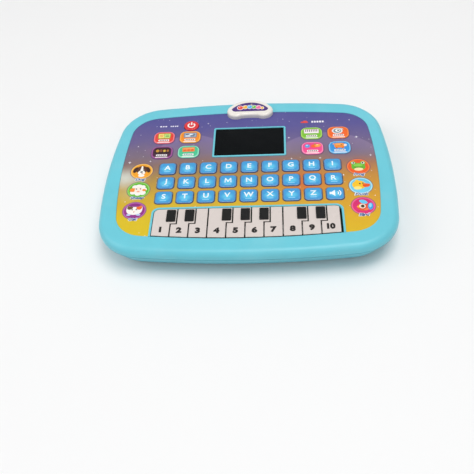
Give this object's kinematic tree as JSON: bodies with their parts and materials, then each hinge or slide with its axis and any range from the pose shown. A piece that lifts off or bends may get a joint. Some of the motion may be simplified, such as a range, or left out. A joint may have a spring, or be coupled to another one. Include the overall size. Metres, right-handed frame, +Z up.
{
  "type": "toy learning computer",
  "caption": "Flat battery toy with letter keys, round and square buttons, a small piano keyboard and a dark display in a bowed casing.",
  "frame": {"origin": "centre of the casing's plan, on the surface the rubber feet stand on", "axes": "+X to the user's right along the longest side, +Y away from the user towards the badge, +Z up out of the keys"},
  "size_m": [0.2402, 0.186, 0.0304],
  "materials": {
    "casing": "satin moulded ABS, pale cyan",
    "panel": "printed film, violet at the back to yellow at the front",
    "letter_key": "glossy moulded ABS, printed blue with white letters",
    "piano_key": "glossy moulded ABS, ivory, with matte black lands",
    "power": "glossy moulded ABS, red",
    "badge": "glossy moulded ABS, ivory white",
    "inlay": "printed film, purple",
    "glass": "tinted clear acrylic, almost black",
    "board": "glass-epoxy board, green",
    "silicone": "translucent silicone rubber",
    "steel": "plated steel",
    "speaker": "black paper cone in a steel basket",
    "cell": "labelled steel can",
    "feet": "soft black rubber",
    "wire": "PVC insulation"
  },
  "bodies": {
    "casing": {"front_cover": "casing", "rear_cover": "casing", "printed_panel": "panel", "badge_frame": "badge", "badge_inlay": "inlay", "display_window": "glass", "display_module": "board", "main_board": "board", "key_mat": "silicone", "piano_mat": "silicone", "piano_pivot_rod": "steel", "speaker": "speaker", "battery_cells": "cell", "battery_contacts": "steel", "cover_screws": "steel", "board_screws": "steel", "rubber_feet": "feet", "battery_leads": "wire", "speaker_leads": "wire"},
    "battery_door": {"battery_door": "casing", "door_screw": "steel"},
    "power_button": {"power_button": "power"},
    "key_a": {"key_a": "letter_key"},
    "key_b": {"key_b": "letter_key"},
    "key_c": {"key_c": "letter_key"},
    "key_d": {"key_d": "letter_key"},
    "key_e": {"key_e": "letter_key"},
    "key_f": {"key_f": "letter_key"},
    "key_g": {"key_g": "letter_key"},
    "key_h": {"key_h": "letter_key"},
    "key_i": {"key_i": "letter_key"},
    "key_j": {"key_j": "letter_key"},
    "key_k": {"key_k": "letter_key"},
    "key_l": {"key_l": "letter_key"},
    "key_m": {"key_m": "letter_key"},
    "key_n": {"key_n": "letter_key"},
    "key_o": {"key_o": "letter_key"},
    "key_p": {"key_p": "letter_key"},
    "key_q": {"key_q": "letter_key"},
    "key_r": {"key_r": "letter_key"},
    "key_s": {"key_s": "letter_key"},
    "key_t": {"key_t": "letter_key"},
    "key_u": {"key_u": "letter_key"},
    "key_v": {"key_v": "letter_key"},
    "key_w": {"key_w": "letter_key"},
    "key_x": {"key_x": "letter_key"},
    "key_y": {"key_y": "letter_key"},
    "key_z": {"key_z": "letter_key"},
    "key_sound": {"key_sound": "letter_key"},
    "piano_key_1": {"piano_key_1": "piano_key"},
    "piano_key_2": {"piano_key_2": "piano_key"},
    "piano_key_3": {"piano_key_3": "piano_key"},
    "piano_key_4": {"piano_key_4": "piano_key"},
    "piano_key_5": {"piano_key_5": "piano_key"},
    "piano_key_6": {"piano_key_6": "piano_key"},
    "piano_key_7": {"piano_key_7": "piano_key"},
    "piano_key_8": {"piano_key_8": "piano_key"},
    "piano_key_9": {"piano_key_9": "piano_key"},
    "piano_key_10": {"piano_key_10": "piano_key"}
  },
  "joints": [
    {"name": "key_a_press", "type": "slide", "parent": "casing", "child": "key_a", "axis": [0, 0, -1], "range_m": [0, 0.0009], "stiffness_N_per_m": 500, "springref_m": -0.0005, "deforming": ["key_mat"]},
    {"name": "key_b_press", "type": "slide", "parent": "casing", "child": "key_b", "axis": [0, 0, -1], "range_m": [0, 0.0009], "stiffness_N_per_m": 500, "springref_m": -0.0005, "deforming": ["key_mat"]},
    {"name": "key_c_press", "type": "slide", "parent": "casing", "child": "key_c", "axis": [0, 0, -1], "range_m": [0, 0.0009], "stiffness_N_per_m": 500, "springref_m": -0.0005, "deforming": ["key_mat"]},
    {"name": "key_d_press", "type": "slide", "parent": "casing", "child": "key_d", "axis": [0, 0, -1], "range_m": [0, 0.0009], "stiffness_N_per_m": 500, "springref_m": -0.0005, "deforming": ["key_mat"]},
    {"name": "key_e_press", "type": "slide", "parent": "casing", "child": "key_e", "axis": [0, 0, -1], "range_m": [0, 0.0009], "stiffness_N_per_m": 500, "springref_m": -0.0005, "deforming": ["key_mat"]},
    {"name": "key_f_press", "type": "slide", "parent": "casing", "child": "key_f", "axis": [0, 0, -1], "range_m": [0, 0.0009], "stiffness_N_per_m": 500, "springref_m": -0.0005, "deforming": ["key_mat"]},
    {"name": "key_g_press", "type": "slide", "parent": "casing", "child": "key_g", "axis": [0, 0, -1], "range_m": [0, 0.0009], "stiffness_N_per_m": 500, "springref_m": -0.0005, "deforming": ["key_mat"]},
    {"name": "key_h_press", "type": "slide", "parent": "casing", "child": "key_h", "axis": [0, 0, -1], "range_m": [0, 0.0009], "stiffness_N_per_m": 500, "springref_m": -0.0005, "deforming": ["key_mat"]},
    {"name": "key_i_press", "type": "slide", "parent": "casing", "child": "key_i", "axis": [0, 0, -1], "range_m": [0, 0.0009], "stiffness_N_per_m": 500, "springref_m": -0.0005, "deforming": ["key_mat"]},
    {"name": "key_j_press", "type": "slide", "parent": "casing", "child": "key_j", "axis": [0, 0, -1], "range_m": [0, 0.0009], "stiffness_N_per_m": 500, "springref_m": -0.0005, "deforming": ["key_mat"]},
    {"name": "key_k_press", "type": "slide", "parent": "casing", "child": "key_k", "axis": [0, 0, -1], "range_m": [0, 0.0009], "stiffness_N_per_m": 500, "springref_m": -0.0005, "deforming": ["key_mat"]},
    {"name": "key_l_press", "type": "slide", "parent": "casing", "child": "key_l", "axis": [0, 0, -1], "range_m": [0, 0.0009], "stiffness_N_per_m": 500, "springref_m": -0.0005, "deforming": ["key_mat"]},
    {"name": "key_m_press", "type": "slide", "parent": "casing", "child": "key_m", "axis": [0, 0, -1], "range_m": [0, 0.0009], "stiffness_N_per_m": 500, "springref_m": -0.0005, "deforming": ["key_mat"]},
    {"name": "key_n_press", "type": "slide", "parent": "casing", "child": "key_n", "axis": [0, 0, -1], "range_m": [0, 0.0009], "stiffness_N_per_m": 500, "springref_m": -0.0005, "deforming": ["key_mat"]},
    {"name": "key_o_press", "type": "slide", "parent": "casing", "child": "key_o", "axis": [0, 0, -1], "range_m": [0, 0.0009], "stiffness_N_per_m": 500, "springref_m": -0.0005, "deforming": ["key_mat"]},
    {"name": "key_p_press", "type": "slide", "parent": "casing", "child": "key_p", "axis": [0, 0, -1], "range_m": [0, 0.0009], "stiffness_N_per_m": 500, "springref_m": -0.0005, "deforming": ["key_mat"]},
    {"name": "key_q_press", "type": "slide", "parent": "casing", "child": "key_q", "axis": [0, 0, -1], "range_m": [0, 0.0009], "stiffness_N_per_m": 500, "springref_m": -0.0005, "deforming": ["key_mat"]},
    {"name": "key_r_press", "type": "slide", "parent": "casing", "child": "key_r", "axis": [0, 0, -1], "range_m": [0, 0.0009], "stiffness_N_per_m": 500, "springref_m": -0.0005, "deforming": ["key_mat"]},
    {"name": "key_s_press", "type": "slide", "parent": "casing", "child": "key_s", "axis": [0, 0, -1], "range_m": [0, 0.0009], "stiffness_N_per_m": 500, "springref_m": -0.0005, "deforming": ["key_mat"]},
    {"name": "key_t_press", "type": "slide", "parent": "casing", "child": "key_t", "axis": [0, 0, -1], "range_m": [0, 0.0009], "stiffness_N_per_m": 500, "springref_m": -0.0005, "deforming": ["key_mat"]},
    {"name": "key_u_press", "type": "slide", "parent": "casing", "child": "key_u", "axis": [0, 0, -1], "range_m": [0, 0.0009], "stiffness_N_per_m": 500, "springref_m": -0.0005, "deforming": ["key_mat"]},
    {"name": "key_v_press", "type": "slide", "parent": "casing", "child": "key_v", "axis": [0, 0, -1], "range_m": [0, 0.0009], "stiffness_N_per_m": 500, "springref_m": -0.0005, "deforming": ["key_mat"]},
    {"name": "key_w_press", "type": "slide", "parent": "casing", "child": "key_w", "axis": [0, 0, -1], "range_m": [0, 0.0009], "stiffness_N_per_m": 500, "springref_m": -0.0005, "deforming": ["key_mat"]},
    {"name": "key_x_press", "type": "slide", "parent": "casing", "child": "key_x", "axis": [0, 0, -1], "range_m": [0, 0.0009], "stiffness_N_per_m": 500, "springref_m": -0.0005, "deforming": ["key_mat"]},
    {"name": "key_y_press", "type": "slide", "parent": "casing", "child": "key_y", "axis": [0, 0, -1], "range_m": [0, 0.0009], "stiffness_N_per_m": 500, "springref_m": -0.0005, "deforming": ["key_mat"]},
    {"name": "key_z_press", "type": "slide", "parent": "casing", "child": "key_z", "axis": [0, 0, -1], "range_m": [0, 0.0009], "stiffness_N_per_m": 500, "springref_m": -0.0005, "deforming": ["key_mat"]},
    {"name": "key_sound_press", "type": "slide", "parent": "casing", "child": "key_sound", "axis": [0, 0, -1], "range_m": [0, 0.0009], "stiffness_N_per_m": 500, "springref_m": -0.0005, "deforming": ["key_mat"]},
    {"name": "power_button_press", "type": "slide", "parent": "casing", "child": "power_button", "axis": [0, 0, -1], "range_m": [0, 0.0009], "stiffness_N_per_m": 500, "springref_m": -0.0005, "deforming": ["key_mat"]},
    {"name": "piano_key_1_press", "type": "hinge", "parent": "casing", "child": "piano_key_1", "pos_m": [-0.06678, -0.0418, 0.0221], "axis": [1, 0, 0], "range_deg": [0, 2], "stiffness_Nm_per_rad": 0.2, "springref_deg": -2.86, "deforming": ["piano_mat"]},
    {"name": "piano_key_2_press", "type": "hinge", "parent": "casing", "child": "piano_key_2", "pos_m": [-0.05215, -0.0418, 0.0221], "axis": [1, 0, 0], "range_deg": [0, 2], "stiffness_Nm_per_rad": 0.2, "springref_deg": -2.86, "deforming": ["piano_mat"]},
    {"name": "piano_key_3_press", "type": "hinge", "parent": "casing", "child": "piano_key_3", "pos_m": [-0.03753, -0.0418, 0.0221], "axis": [1, 0, 0], "range_deg": [0, 2], "stiffness_Nm_per_rad": 0.2, "springref_deg": -2.86, "deforming": ["piano_mat"]},
    {"name": "piano_key_4_press", "type": "hinge", "parent": "casing", "child": "piano_key_4", "pos_m": [-0.02289, -0.0418, 0.0221], "axis": [1, 0, 0], "range_deg": [0, 2], "stiffness_Nm_per_rad": 0.2, "springref_deg": -2.86, "deforming": ["piano_mat"]},
    {"name": "piano_key_5_press", "type": "hinge", "parent": "casing", "child": "piano_key_5", "pos_m": [-0.00826, -0.0418, 0.0221], "axis": [1, 0, 0], "range_deg": [0, 2], "stiffness_Nm_per_rad": 0.2, "springref_deg": -2.86, "deforming": ["piano_mat"]},
    {"name": "piano_key_6_press", "type": "hinge", "parent": "casing", "child": "piano_key_6", "pos_m": [0.00636, -0.0418, 0.0221], "axis": [1, 0, 0], "range_deg": [0, 2], "stiffness_Nm_per_rad": 0.2, "springref_deg": -2.86, "deforming": ["piano_mat"]},
    {"name": "piano_key_7_press", "type": "hinge", "parent": "casing", "child": "piano_key_7", "pos_m": [0.02099, -0.0418, 0.0221], "axis": [1, 0, 0], "range_deg": [0, 2], "stiffness_Nm_per_rad": 0.2, "springref_deg": -2.86, "deforming": ["piano_mat"]},
    {"name": "piano_key_8_press", "type": "hinge", "parent": "casing", "child": "piano_key_8", "pos_m": [0.03562, -0.0418, 0.0221], "axis": [1, 0, 0], "range_deg": [0, 2], "stiffness_Nm_per_rad": 0.2, "springref_deg": -2.86, "deforming": ["piano_mat"]},
    {"name": "piano_key_9_press", "type": "hinge", "parent": "casing", "child": "piano_key_9", "pos_m": [0.05026, -0.0418, 0.0221], "axis": [1, 0, 0], "range_deg": [0, 2], "stiffness_Nm_per_rad": 0.2, "springref_deg": -2.86, "deforming": ["piano_mat"]},
    {"name": "piano_key_10_press", "type": "hinge", "parent": "casing", "child": "piano_key_10", "pos_m": [0.06488, -0.0418, 0.0221], "axis": [1, 0, 0], "range_deg": [0, 2], "stiffness_Nm_per_rad": 0.2, "springref_deg": -2.86, "deforming": ["piano_mat"]},
    {"name": "battery_door_hinge", "type": "hinge", "parent": "casing", "child": "battery_door", "pos_m": [-0.0322, 0.004, 0.0033], "axis": [0, 1, 0], "range_deg": [0, 85]}
  ]
}
